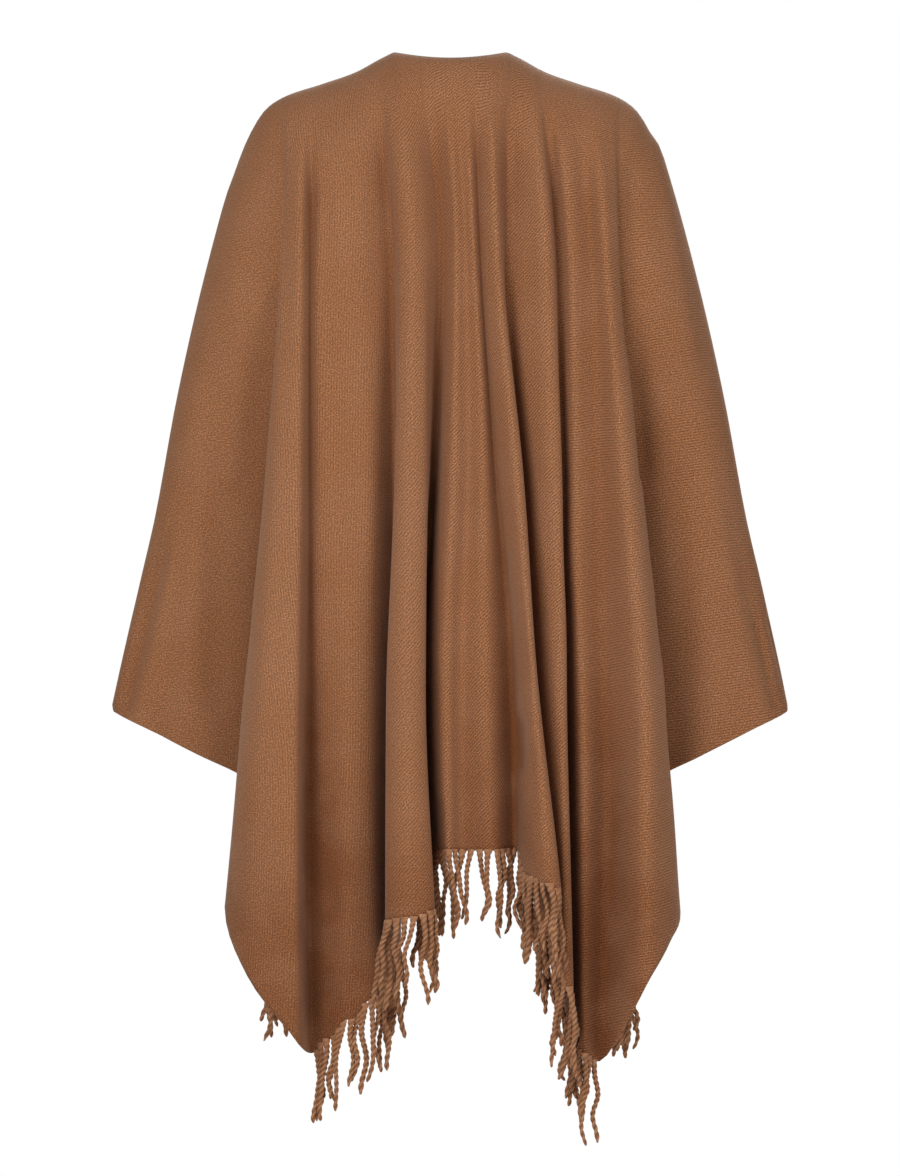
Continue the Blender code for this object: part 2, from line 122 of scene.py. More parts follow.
# %% Folds of the back
BACK_FOLDS = [
    # name                  line     x25     x50     x75     end   d25  d50  d75  end  drop
    ("left wrist",          -338,   -338,   -338,   -338, -337.5,   30,  30,  30,  30,  662),
    ("left cuff",           -330,   -330,   -330,   -331,   -331,   30,  32,  34,  36,  666),
    ("left forearm",        -312,   -311,   -310,   -309,   -308,   32,  38,  42,  46,  677),
    ("left elbow",          -287,   -285,   -284,   -282,   -280,   38,  48,  52,  54,  691),
    ("left arm",            -262,   -259,   -256,   -253,   -250,   48,  54,  56,  60,  706),
    ("left arm back",       -234,   -228,   -226,   -225,   -222,   60,  52,  50,  52,  719),
    ("left wing inside",    -206,   -188,   -192,   -201,   -198,   78,  50,  44,  44,  731),
    ("left hidden back",    -178,   -169,   -166,   -162,   -156,   84,  50,  28,  26,  748),
    ("left hidden turn",    -168,   -163,   -156,   -146,   -138,   87,  60,  40,  36,  770),
    ("left outer edge",     -160,   -170,   -186,   -205,   -224,   97, 104, 114, 120,  855),
    ("left outer front",    -155,   -162,   -176,   -190,   -200,  107, 131, 160, 170,  922),
    ("left outer ridge",    -148,   -150,   -152,   -154,   -153,  115, 141, 175, 189,  983),
    ("left corner",         -139,   -139,   -140,   -142,   -138,   97, 107, 119, 126, 1000),
    ("left small ridge",    -130,   -132,   -131,   -125,   -122,  107, 118, 132, 140,  986),
    ("left panel",          -112,   -111,   -102,   -100,   -100,  113, 125, 145, 153,  965),
    ("left panel side",      -92,    -86,    -80,    -80,    -78,  108, 121, 139, 148,  946),
    ("left deep valley",     -78,    -61,    -57,    -57,    -57,   92,  91,  90,  92,  908),
    ("left deep turn",       -72,    -55,    -52,    -51,    -50,   95,  97,  98, 100,  900),
    ("strip left edge",      -66,    -51,    -55,    -63,    -64,  109, 134, 168, 186,  867),
    ("strip face",           -58,    -38,    -40,    -43,    -40,  118, 148, 190, 210,  863),
    ("strip right edge",     -46,    -26,    -24,    -25,    -16,  112, 138, 172, 190,  856),
    ("centre turn",          -30,    -13,    -20,    -35,    -32,   94,  97,  99, 102,  826),
    ("centre valley",        -22,     -7,    -14,    -27,    -24,   92,  91,  90,  92,  820),
    ("centre left edge",     -14,     -1,     -7,    -17,    -12,  100, 112, 130, 140,  799),
    ("centre ridge",          -6,      6,      4,     -4,     -2,  109, 127, 150, 164,  798),
    ("centre trough",          4,     15,     18,     12,     12,  104, 118, 139, 151,  798),
    ("centre far ridge",      14,     23,     32,     34,     40,  109, 127, 150, 164,  798),
    ("right valley",          24,     30,     43,     59,     64,   98, 112, 131, 137,  797),
    ("neck fold left",        31,     36,     51,     70,     76,  107, 127, 159, 173,  823),
    ("neck fold face",        38,     46,     64,     81,     97,  116, 145, 184, 202,  830),
    ("neck fold right",       44,     51,     71,     86,    108,  110, 138, 176, 192,  838),
    ("right recess turn",     58,     54,     64,     73,     84,   93,  94,  98, 102,  869),
    ("right recess",          66,     60,     70,     80,     93,   93,  95,  98, 102,  869),
    ("right soft ridge",      72,     74,     84,     94,    107,  102, 119, 142, 152,  902),
    ("right soft face",       80,     96,    104,    110,    115,  114, 134, 162, 174,  932),
    ("right soft edge",       84,    104,    111,    116,    121,  109, 129, 156, 168,  940),
    ("right fold turn",       90,    107,    108,    109,    113,   95,  98, 102, 106,  962),
    ("right fold back",       96,    112,    114,    116,    121,   94,  97, 100, 104,  965),
    ("right panel",          106,    122,    126,    132,    132,  110, 121, 139, 147, 1000),
    ("right corner",         126,    143,    149,    155,    148,   98, 108, 121, 128, 1008),
    ("right outer ridge",    143,    158,    176,    191,    192,  114, 141, 174, 188,  932),
    ("right outer front",    152,    166,    188,    207,    216,  106, 128, 152, 162,  889),
    ("right outer edge",     160,    170,    192,    213,    228,   97, 104, 114, 120,  860),
    ("right hidden turn",    168,    163,    158,    148,    140,   87,  60,  40,  36,  770),
    ("right hidden back",    178,    170,    168,    164,    158,   84,  50,  28,  26,  748),
    ("right wing inside",    206,    189,    194,    202,    200,   78,  50,  44,  44,  731),
    ("right arm back",       234,    229,    227,    226,    223,   60,  52,  50,  52,  719),
    ("right arm",            262,    259,    256,    253,    250,   48,  54,  56,  60,  706),
    ("right elbow",          287,    285,    284,    282,    280,   38,  48,  52,  54,  691),
    ("right forearm",        312,    311,    310,    309,    308,   32,  38,  42,  46,  677),
    ("right cuff",           330,    330,    330,    331,    331,   30,  32,  34,  36,  666),
    ("right wrist",          338,    338,    338,    338,  337.5,   30,  30,  30,  30,  662),
]
print(len(BACK_FOLDS), "rows on the back")

# %% Folds of each front
FRONT_FOLDS = [
    # name          line  x25  x50  x75  end  d25  d50  d75  end  drop  lower
    ("open edge",   57.5, 62,  68,  72,  76,  98, 124, 138, 144, 806, 0),
    ("edge ridge",  66,   72,  80,  86,  92,  106, 150, 190, 206, 812, 2),
    ("edge valley", 78,   86,  96,  104, 112, 97, 106, 108, 110, 832, 6),
    ("mid ridge",   92,   101, 113, 124, 134, 106, 150, 192, 208, 856, 12),
    ("mid valley",  106,  115, 128, 141, 152, 98, 108, 110, 112, 880, 18),
    ("side ridge",  122,  129, 143, 157, 170, 105, 144, 182, 196, 900, 22),
    ("side valley", 136,  142, 155, 170, 181, 99, 116, 130, 138, 904, 22),
    ("corner",      146,  152, 167, 184, 193, 102, 126, 150, 158, 896, 18),
    ("outer edge",  158,  162, 178, 197, 214, 94, 99, 110, 118, 826, 4),
    ("hidden turn", 168,  159, 154, 144, 136, 86, 58, 38, 34, 764, 0),
    ("hidden back", 178,  168, 165, 160, 154, 82, 48, 26, 24, 744, 0),
    ("wing inside", 206,  190, 193, 200, 198, 76, 48, 42, 42, 728, 0),
    ("arm inside",  234,  229, 227, 225, 222, 58, 50, 48, 50, 716, 0),
    ("arm",         262,  259, 256, 253, 250, 46, 52, 54, 58, 703, 0),
    ("elbow",       287,  285, 284, 282, 280, 36, 46, 50, 52, 688, 0),
    ("forearm",     312,  311, 310, 309, 308, 30, 36, 40, 44, 674, 0),
    ("cuff",        330,  330, 330, 331, 331, 28, 30, 32, 34, 664, 0),
    ("wrist",       338,  338, 338, 338, 337.5, 28, 28, 28, 28, 661, 0),
]
print(len(FRONT_FOLDS), "rows on each front")

# %% [markdown]
# ## From rows to a surface
# A curve through the rows must not swing past them, or a crease would get a false twin. The
# monotone cubic keeps each span between its two values and still has no corner. The sheet is
# then a function of two numbers: the place across the rows, and the part of the way down.

# %% A smooth curve through table rows
def smooth(knots, values, at):
    """Values at rising knots, joined by cubics.

    The slope at a knot is the weighted harmonic mean of the slopes beside it, or nothing where
    they differ in sign, so the curve never overshoots.
    """
    knots = np.asarray(knots, float)
    values = np.asarray(values, float)
    at = np.clip(np.asarray(at, float), knots[0], knots[-1])
    gap = np.diff(knots).reshape((-1,) + (1,) * (values.ndim - 1))
    slope = np.diff(values, axis=0) / gap
    tangent = np.zeros_like(values)
    before, after = slope[:-1], slope[1:]
    same_way = before * after > 0
    weight_a, weight_b = 2 * gap[1:] + gap[:-1], gap[1:] + 2 * gap[:-1]
    safe_before = np.where(same_way, before, 1.0)
    safe_after = np.where(same_way, after, 1.0)
    mean = (weight_a + weight_b) / (weight_a / safe_before + weight_b / safe_after)
    tangent[1:-1] = np.where(same_way, mean, 0.0)
    tangent[0], tangent[-1] = slope[0], slope[-1]
    cell = np.clip(np.searchsorted(knots, at, side="right") - 1, 0, len(knots) - 2)
    width = (knots[cell + 1] - knots[cell]).reshape((-1,) + (1,) * (values.ndim - 1))
    part = ((at - knots[cell]) / (knots[cell + 1] - knots[cell])).reshape(width.shape)
    a, b = values[cell], values[cell + 1]
    ta, tb = tangent[cell] * width, tangent[cell + 1] * width
    return (a * (1 + 2 * part) * (1 - part) ** 2 + ta * part * (1 - part) ** 2
            + b * part ** 2 * (3 - 2 * part) - tb * part ** 2 * (1 - part))


def eased(value, low, high):
    """Smooth step from 0 at low to 1 at high: three squares of the part less two cubes."""
    part = np.clip((value - low) / (high - low), 0, 1)
    return part * part * (3 - 2 * part)


print("half way between 0, 1 and 1:", smooth([0, 1, 2], [0, 1, 1], [0.5, 1.5]))

# %% The line that the cloth hangs from, and the hem
def line_drop(x):
    """Drop of the shoulder line at x; inside the neck a shallow parabola."""
    out = np.array([row[1] for row in OUTLINE]) * MM
    down = np.array([row[2] for row in OUTLINE]) * MM
    neck = NECK_DIP * (1 - np.minimum(np.abs(x) / NECK_HALF_WIDTH, 1) ** 2)
    return np.where(np.abs(x) < NECK_HALF_WIDTH, neck, smooth(out, down, np.abs(x)))


def hem_drop(folds, hem, across):
    """Drop of the lower edge, in metres.

    Along the fringe a fifth-power step eases it from row to row, and beyond it is a curve.
    """
    rows = np.arange(len(folds))
    cell = np.clip(np.floor(across), 0, len(folds) - 2)
    part = across - cell
    step = part ** 3 * (10 - 15 * part + 6 * part ** 2)
    level = np.interp(cell + step, rows, folds[:, 9])
    on_hem = (across > hem[0]) & (across < hem[1])
    return np.where(on_hem, level, smooth(rows, folds[:, 9], across))


def fold_table(rows, side=1, lower=False):
    """Numbers of a fold table in metres; side mirrors x, lower adds the last column to the drop."""
    table = np.array([row[1:11] for row in rows], float)
    if lower:
        table[:, 9] += [row[11] for row in rows]
    table[:, 0:5] *= side
    return table * MM


def row_numbers(rows):
    """Where each named row is in its table."""
    return {row[0]: number for number, row in enumerate(rows)}


back_rows, front_rows = row_numbers(BACK_FOLDS), row_numbers(FRONT_FOLDS)
back_folds = fold_table(BACK_FOLDS)
left_folds = fold_table(FRONT_FOLDS, side=-1)
right_folds = fold_table(FRONT_FOLDS, lower=True)
back_hem = (back_rows["left corner"], back_rows["right corner"])
front_hem = (0, front_rows["corner"])
print("hem rows of the back", back_hem, "and of a front", front_hem)

# %% The hanging sheet
FOLDS_START = 10 * MM      # below the line the folds start to stand out from the yoke
FOLDS_OPEN = 125 * MM      # and here they have the depth of the table


def sheet_points(folds, hem, across, down, facing, neck_depth):
    """Middle surface of a panel, as (down, across, 3).

    x and depth run through the table across and then down in quarters. The folds open from the
    smooth yoke by an eased step. Near the shoulder line the depth rises as a quarter of an
    ellipse, which rounds the cloth over the shoulder, and behind the neck it starts at the neck
    edge. The first of the places down stands for the edge at the seam, level with the line.
    """
    column = smooth(np.arange(len(folds)), folds, across)
    line, x_own, depth_own = column[:, 0], column[:, 1:5], column[:, 5:9]
    down = np.asarray(down, float)
    run = np.maximum(down, 0)
    x = smooth([0, 0.25, 0.5, 0.75, 1], np.vstack([line, x_own.T]), run)
    depth = smooth([0.25, 0.5, 0.75, 1], depth_own.T, run)
    top = line_drop(line)
    drop = top + (hem_drop(folds, hem, across) - top) * run[:, None]
    yoke = smooth([row[1] * MM for row in YOKE], [row[2] * MM for row in YOKE], np.abs(line))
    depth = yoke + (depth - yoke) * eased(drop - top, FOLDS_START, FOLDS_OPEN)
    fallen = np.minimum((drop - top) / ROUND_DROP, 1)
    rounding = np.sqrt(1 - (1 - fallen) ** 2)
    neck = neck_depth * np.clip(1 - (line / NECK_HALF_WIDTH) ** 2, 0, None) ** 0.75
    lead = np.where(down == down[0], SEAM_GAP / 2, LEAD)[:, None]
    y = facing * (lead + neck + (depth - neck) * rounding)
    return np.stack([x, y, -drop], axis=2)


COLUMNS_PER_ROW = 5        # grid columns from one fold row of the back to the next
FRONT_COLUMNS_PER_ROW = 8  # the fronts have fewer rows
LENGTHS = 170              # grid rows from the shoulder line to the hem
CROWDED, CROWDING = 0.3, 1.8    # part and power by which they crowd towards the line
SEAM_EDGE = -0.004         # place down of the edge at the seam


def panel_grid(folds, hem, facing, neck_depth, columns_per_row=COLUMNS_PER_ROW):
    """Fine grid of a panel: its place across the rows and its points."""
    across = np.linspace(0, len(folds) - 1, (len(folds) - 1) * columns_per_row + 1)
    even = np.linspace(0, 1, LENGTHS)
    crowded = CROWDED * even ** CROWDING + (1 - CROWDED) * even
    down = np.concatenate([[SEAM_EDGE], crowded])
    return across, sheet_points(folds, hem, across, down, facing, neck_depth)


back_across, back_points = panel_grid(back_folds, back_hem, -1, NECK_DEPTH)
left_across, left_points = panel_grid(left_folds, front_hem, 1, 0.0, FRONT_COLUMNS_PER_ROW)
right_across, right_points = panel_grid(right_folds, front_hem, 1, 0.0, FRONT_COLUMNS_PER_ROW)
print("grids", back_points.shape, left_points.shape, right_points.shape)

# %% [markdown]
# ## Creases and slack
# Between its main folds real cloth has soft troughs and ridges a few millimetres high. A crease
# here is a line in the photograph's own millimetres. It pushes the surface along its normal by
# a bell curve of the distance to that line. The rows that it may touch are named, because a
# fold hides other cloth behind it. A few slow waves keep the rest from looking pressed.

# %% Normals and cloth measure of a grid
LEVELS = 240               # heights at which the way across the cloth is summed


def unit(vectors):
    """The vectors over their lengths."""
    return vectors / np.linalg.norm(vectors, axis=-1, keepdims=True)


def grid_normals(points):
    """Unit normals: the cross product of the central differences down and across."""
    return unit(np.cross(np.gradient(points, axis=0), np.gradient(points, axis=1)))


def running_sum(steps):
    """Sums along the first axis, from nothing to the whole."""
    return np.concatenate([np.zeros_like(steps[:1]), np.cumsum(steps, axis=0)])


def cloth_measure(points, joins=()):
    """Metres of cloth level across from the middle column, and down from the top row.

    Each column is read at even heights, the steps between columns are summed there, and the sum
    is read back at the heights of the grid. A join is a column hidden in a fold. Beyond it the
    way to it is the same at every height, so one fold doesn't slant the weave of the next.
    """
    height, columns = points[:, :, 2], range(points.shape[1])
    levels = np.linspace(height.min(), height.max(), LEVELS)
    level_x, level_y = [
        np.array([np.interp(levels, height[::-1, c], points[::-1, c, axis]) for c in columns])
        for axis in (0, 1)]
    way = running_sum(np.hypot(np.diff(level_x, axis=0), np.diff(level_y, axis=0)))
    middle = points.shape[1] // 2
    way = way - way[middle]
    for join in joins:
        beyond = slice(0, join) if join < middle else slice(join + 1, None)
        way[beyond] -= way[join] - way[join].mean()
    across = np.stack([np.interp(height[:, c], levels, way[c]) for c in columns], axis=1)
    down = running_sum(np.linalg.norm(np.diff(points, axis=0), axis=2))
    return across, down


hem_measure = cloth_measure(back_points)[0][-1]
print("cloth along the back's hem:", round(float(np.ptp(hem_measure)), 2), "m")

# %% Creases, in mm: from x, drop to x, drop; width of the bell; height, out is positive
BACK_CREASES = [
    # first row            last row             x0    drop0  x1    drop1  width height
    ("left corner",        "left panel side",  -131,  150,  -127,  440,   6,    2.0),
    ("left corner",        "left panel side",  -131,  150,  -107,  300,  13,   -4.0),
    ("left corner",        "left panel side",  -107,  300,  -100,  500,  14,   -3.5),
    ("left corner",        "left panel side",  -119,  560,  -113,  605,   4,   -1.6),
    ("left corner",        "left panel side",  -110,  570,  -107,  620,   4,    1.2),
    ("left corner",        "left panel",       -127,  700,  -124,  760,   9,    1.6),
    ("left wrist",         "left elbow",       -292,  510,  -325,  655,   7,   -4.5),
    ("left wrist",         "left elbow",       -310,  560,  -335,  655,   5,    2.0),
    ("left forearm",       "left arm",         -262,  430,  -290,  690,  12,   -4.5),
    ("left arm",           "left wing inside", -236,  330,  -240,  650,  16,   -3.0),
    ("left arm",           "left wing inside", -212,  150,  -214,  420,  12,    3.0),
    ("centre turn",        "centre far ridge",   -6,  600,    -8,  740,   8,    1.5),
    ("right valley",       "neck fold right",    70,  670,    69,  715,   6,   -4.0),
    ("right valley",       "neck fold right",    76,  640,    80,  690,   6,    2.0),
    ("right soft ridge",   "right soft edge",    92,  150,    95,  420,   7,    1.5),
    ("right panel",        "right outer ridge", 121,  672,   146,  676,   4,   -1.5),
    ("right panel",        "right outer ridge", 119,  100,   127,  230,   8,    2.0),
    ("right wing inside",  "right elbow",       205,   98,   238,  300,  10,    3.5),
    ("right outer edge",   "right arm back",    182,  120,   194,  420,   9,   -4.0),
    ("right wing inside",  "right arm",         204,  202,   226,  322,  14,    3.0),
    ("right elbow",        "right wrist",       308,  575,   326,  655,   5,   -4.0),
    ("right elbow",        "right wrist",       318,  560,   333,  640,   4,   -2.5),
    ("right wing inside",  "right arm",         230,  430,   236,  690,  18,   -3.0),
]
FRONT_CREASES = [
    ("edge ridge",   "side valley",  96,  180,  116,  520,  9,   3.0),
    ("edge ridge",   "side valley",  78,  420,   86,  700,  6,  -2.0),
    ("outer edge",   "arm",         236,  330,  240,  640, 16,  -3.0),
    ("outer edge",   "arm",         212,  150,  214,  400, 12,   3.0),
    ("forearm",      "wrist",       312,  540,  328,  650,  7,  -2.5),
]
print(len(BACK_CREASES), "creases on the back,", len(FRONT_CREASES), "on each front")

# %% Push the creases and the slack into the sheets
CREASE_FADE = 0.5          # of a row
SLACK_WAVES = 9
SLACK_HEIGHT = 0.16 * MM   # of each wave
SLACK_START = 0.15         # metres down the cloth to their full height
ANY_PHASE = 6.3            # a full turn in radians, the range of a random start


def creased(points, across, creases, rows, side=1):
    """How far each point goes out: the sum of bell curves, height exp(-(distance / width)^2).

    Past a crease's rows the push fades within half a row, so it never shows on cloth behind.
    """
    x, drop = points[:, :, 0], -points[:, :, 2]
    push = np.zeros(x.shape)
    for first, last, x0, drop0, x1, drop1, width, height in creases:
        start, end = np.array([x0 * side, drop0]) * MM, np.array([x1 * side, drop1]) * MM
        way = end - start
        part = ((x - start[0]) * way[0] + (drop - start[1]) * way[1]) / (way @ way)
        part = np.clip(part, 0, 1)
        distance = np.hypot(x - start[0] - part * way[0], drop - start[1] - part * way[1])
        inside = np.clip((across - rows[first] + CREASE_FADE) / CREASE_FADE, 0, 1)
        inside = inside * np.clip((rows[last] + CREASE_FADE - across) / CREASE_FADE, 0, 1)
        push += height * MM * np.exp(-(distance / (width * MM)) ** 2) * inside
    return push


def slack(points, seed):
    """Slow waves along the cloth: a sum of sines, longer down the cloth than across it."""
    across, down = cloth_measure(points)
    random = np.random.default_rng(seed)
    push = np.zeros(across.shape)
    for _ in range(SLACK_WAVES):
        wave_across, wave_down = random.uniform(18, 75), random.uniform(4, 16)
        push += np.sin(across * wave_across + down * wave_down + random.uniform(0, ANY_PHASE))
    return push * SLACK_HEIGHT * np.clip(down / SLACK_START, 0, 1)


def finished_sheet(points, across, creases, rows, facing, seed, side=1):
    """The sheet with its creases and slack, pushed along its outward normals."""
    normals = grid_normals(points)
    outward = np.sign((normals[:, :, 1] * facing).mean())
    push = creased(points, across, creases, rows, side) + slack(points, seed)
    push[0] = 0
    return points + normals * outward * push[:, :, None], outward


back_points, back_outward = finished_sheet(
    back_points, back_across, BACK_CREASES, back_rows, -1, 3)
left_points, left_outward = finished_sheet(
    left_points, left_across, FRONT_CREASES, front_rows, 1, 5, side=-1)
right_points, right_outward = finished_sheet(
    right_points, right_across, FRONT_CREASES, front_rows, 1, 7)
print("normals of the grids point", back_outward, left_outward, right_outward)

# %% [markdown]
# ## Brushed twill
# The cloth is a wool-like twill in camel brown, brushed until its diagonal lines are soft. Twill
# shows as fine ribs under three millimetres apart. Because the cloth is hung on the bias, they
# run half steeply in the middle, nearly upright on the left and nearly level on the right. Each
# panel carries its own measure of cloth as a UV map in metres, so ribs narrow where a fold turns
# away. An attribute tells which of the three ways the ribs run, how clear they are, and how deep
# in a fold the place is. From that depth, recesses get painted shade and ridges a painted
# highlight, and the painted shade deepens towards the hem.

# %% Shared helpers for node materials
def new_material(name):
    """Empty node material with a Principled shader, and its tree."""
    made = bpy.data.materials.new(name)
    made.use_nodes = True
    tree = made.node_tree
    return made, tree, tree.nodes["Principled BSDF"]


def node(tree, kind, inputs=(), **settings):
    """New node with its settings, and its inputs set or linked by name or number."""
    made = tree.nodes.new(kind)
    for setting, value in settings.items():
        setattr(made, setting, value)
    for key, value in dict(inputs).items():
        if isinstance(value, bpy.types.NodeSocket):
            tree.links.new(value, made.inputs[key])
        else:
            made.inputs[key].default_value = value
    return made


def math_node(tree, operation, a, b=0.0, c=0.0):
    """Result of one Math node."""
    return node(tree, "ShaderNodeMath", {0: a, 1: b, 2: c}, operation=operation).outputs[0]


def mixed(tree, factor, a, b, blend="MIX"):
    """Colour a mixed with colour b."""
    return node(tree, "ShaderNodeMix", {0: factor, 6: a, 7: b},
                data_type="RGBA", blend_type=blend).outputs[2]


def ramp(tree, factor, low, high):
    """factor run from 0 at low to 1 at high, eased."""
    return node(tree, "ShaderNodeMapRange", {0: factor, 1: low, 2: high},
                interpolation_type="SMOOTHSTEP").outputs[0]


def noise(tree, place, scale, detail, roughness=0.5):
    """Soft noise with so many cells to a unit of place, and so many finer layers."""
    return node(tree, "ShaderNodeTexNoise", {"Vector": place, "Scale": scale, "Detail": detail,
                                             "Roughness": roughness}).outputs[0]


FIBRE_BUMP = 0.4 * MM
SHEEN_TINT = (0.85, 0.68, 0.54, 1)


def finish_fibres(tree, shader, base, shade, height, roughness, specular):
    """Colour times shade, a fine bump, and matt fibres with a little sheen."""
    tree.links.new(mixed(tree, 1.0, base, shade, "MULTIPLY"), shader.inputs["Base Color"])
    bump = node(tree, "ShaderNodeBump", {"Height": height, "Strength": 0.4, "Distance": FIBRE_BUMP})
    tree.links.new(bump.outputs[0], shader.inputs["Normal"])
    shader.inputs["Roughness"].default_value = roughness
    shader.inputs["Specular IOR Level"].default_value = specular
    shader.inputs["Sheen Weight"].default_value = 0.16
    shader.inputs["Sheen Roughness"].default_value = 0.5
    shader.inputs["Sheen Tint"].default_value = SHEEN_TINT


print("fibres have a bump of", FIBRE_BUMP / MM, "mm")

# %% Twill material
RIB_SPACING = 2.7 * MM
RIB_DEGREES = {"middle": 46, "left": 5, "right": 82}
RIB_WANDER = 1.8           # radians
RIB_CONTRAST = 0.72
NAP_CONTRAST = 0.95
NAP_DARKEST = 0.715        # shade between the light specks of the nap
CAMEL = (0.268, 0.112, 0.049, 1)
# paler brown: a painted highlight on the ridges, and also the cloth's own paler tone in random
# blotches
CAMEL_PALE_AND_PAINTED_HIGHLIGHT = (0.305, 0.142, 0.072, 1)
# painted shade: the darker, redder brown of recesses in the folds, the neck's rim and the lower
# cloth
CAMEL_PAINTED_SHADE = (0.170, 0.057, 0.020, 1)


def twill(name):
    """Camel cloth: ribs as sine bands on the cloth's UV, a nap of fine noise, soft blotches."""
    made, tree, shader = new_material(name)
    cloth = node(tree, "ShaderNodeUVMap", uv_map="cloth").outputs[0]
    tone = node(tree, "ShaderNodeAttribute", attribute_name="rib_ways_and_painted_shading")
    tones = node(tree, "ShaderNodeSeparateColor", {0: tone.outputs["Color"]})
    level, painted_shading, upright = tones.outputs[0], tones.outputs[1], tones.outputs[2]
    wander = math_node(tree, "MULTIPLY", noise(tree, cloth, 40, 3), RIB_WANDER)

    def ribs(part):
        """Sine bands across the cloth's UV, turned to that part's way, with a little wander."""
        turn = (0, 0, math.radians(RIB_DEGREES[part]))
        turned = node(tree, "ShaderNodeMapping", {"Vector": cloth, "Rotation": turn}).outputs[0]
        along = node(tree, "ShaderNodeSeparateXYZ", {0: turned}).outputs[0]
        place = math_node(tree, "MULTIPLY_ADD", along, 2 * math.pi / RIB_SPACING, wander)
        return math_node(tree, "SINE", place)

    rib = node(tree, "ShaderNodeMix", {0: upright, 2: ribs("middle"), 3: ribs("left")}).outputs[0]
    rib = node(tree, "ShaderNodeMix", {0: level, 2: rib, 3: ribs("right")}).outputs[0]
    rib = math_node(tree, "MULTIPLY_ADD", rib, 0.5, 0.5)
    nap = ramp(tree, noise(tree, cloth, 760, 1, 0.6), 0.42, 0.72)
    blotch = ramp(tree, noise(tree, cloth, 14, 4), 0.40, 0.62)
    brushed = noise(tree, cloth, 34, 3)

    # painted shade: deep in a fold the colour is mixed towards the darker, redder brown
    base = mixed(tree, ramp(tree, painted_shading, 0.5, 0.95), CAMEL, CAMEL_PAINTED_SHADE)
    # painted highlight: on ridges the colour is mixed part way towards the paler brown
    ridge = math_node(tree, "MULTIPLY", ramp(tree, painted_shading, 0.5, 0.0), 0.45)
    base = mixed(tree, ridge, base, CAMEL_PALE_AND_PAINTED_HIGHLIGHT)
    # the cloth's own uneven tone: random blotches towards the same paler brown
    base = mixed(tree, math_node(tree, "MULTIPLY", blotch, 0.3), base, CAMEL_PALE_AND_PAINTED_HIGHLIGHT)
    unbrushed = math_node(tree, "MULTIPLY_ADD", brushed, 0.9, 0.25)
    strength = math_node(tree, "MULTIPLY", unbrushed, tone.outputs["Alpha"])
    ribbed = math_node(tree, "MULTIPLY", math_node(tree, "SUBTRACT", rib, 0.5), strength)
    napped = math_node(tree, "MULTIPLY_ADD", nap, NAP_CONTRAST, NAP_DARKEST)
    shade = math_node(tree, "MULTIPLY_ADD", ribbed, RIB_CONTRAST, napped)
    height = math_node(tree, "MULTIPLY_ADD", rib, 0.6, nap)
    finish_fibres(tree, shader, base, shade, height, roughness=0.95, specular=0.12)
    return made


camel_twill = twill("brushed camel twill")
print("nodes in the twill:", len(camel_twill.node_tree.nodes))

# %% Where ribs turn, and painted shade where folds lie deep
AROUND = 15                # columns to either side that a place is compared with
PAINTED_SHADING_DEPTH = 70 * MM       # from the painted highlight of the sharpest ridge to the painted shade of the deepest recess
LOW_PAINTED_SHADE = 0.75            # of the way to the deepest painted shade, at the lowest hem
LOW_FROM, LOW_FULL = 0.5, 0.9   # metres of drop where that starts, and where it is whole
RIM_ROWS = 2               # of the grid, at the neck's edge, which gets the full painted shade
RIM_HALF_WIDTH = 0.058     # metres, a little over the neck's half width
WING_NAP, LEFT_NAP = 0.25, 0.45     # parts of the ribs that the nap hides


def rib_ways_and_painted_shading(points, across, facing):
    """Per point: how level the ribs run, its painted shade from how deep it lies, how upright and
    how clear they are.

    Depth in a fold is the mean depth of the columns around it, less its own, with 0.5 for
    neither: less is a ridge, lightened as a painted highlight, and more a recess, darkened as
    painted shade. The neck's rim gets the full painted shade, and the painted shade deepens a
    little towards the hem. A front has the ribs of the back's middle. The nap hides almost half
    of the ribs on the left folds, and more on the left wing.
    """
    depth = points[:, :, 1] * facing
    padded = np.pad(depth, ((0, 0), (AROUND, AROUND)), mode="edge")
    total = np.cumsum(np.pad(padded, ((0, 0), (1, 0))), axis=1)
    width = 2 * AROUND + 1
    local_mean = (total[:, width:] - total[:, :-width]) / width
    # painted shade from depth in a fold: above 0.5 darkens a recess, below 0.5 gives a ridge a
    # painted highlight
    painted_shading = np.clip(0.5 + (local_mean - depth) / PAINTED_SHADING_DEPTH, 0, 1)
    # the painted shade deepens towards the hem
    painted_shading = painted_shading + LOW_PAINTED_SHADE * eased(-points[:, :, 2], LOW_FROM, LOW_FULL) * (1 - painted_shading)
    level, upright, clear = np.zeros_like(across), np.zeros_like(across), np.ones_like(across)
    if facing < 0:
        wing = 1 - eased(across, back_rows["left hidden back"], back_rows["left outer edge"])
        level = wing + eased(across, back_rows["right fold turn"], back_rows["right fold back"])
        upright = 1 - eased(across, back_rows["left panel side"], back_rows["left deep turn"])
        left_side = 1 - eased(across, back_rows["left deep turn"], back_rows["centre turn"])
        clear = 1 - WING_NAP * wing - LEFT_NAP * left_side
        # the neck's rim gets the full painted shade
        rim = painted_shading[:RIM_ROWS]
        rim[np.abs(points[:RIM_ROWS, :, 0]) < RIM_HALF_WIDTH] = 1
    same = np.ones_like(depth)
    return np.stack([level * same, painted_shading, upright * same, clear * same], axis=2)


print("cloth around a place is compared over", 2 * AROUND, "columns")

# %% [markdown]
# ## The three panels
# A panel is the sheet given a thickness of 1.8 mm. Solidify adds the second face and the rim, so
# the selvedges and the neck edge have a real edge. Each panel takes the place of its solid.

# %% Cloth pieces
CLOTH_THICKNESS = 1.8 * MM


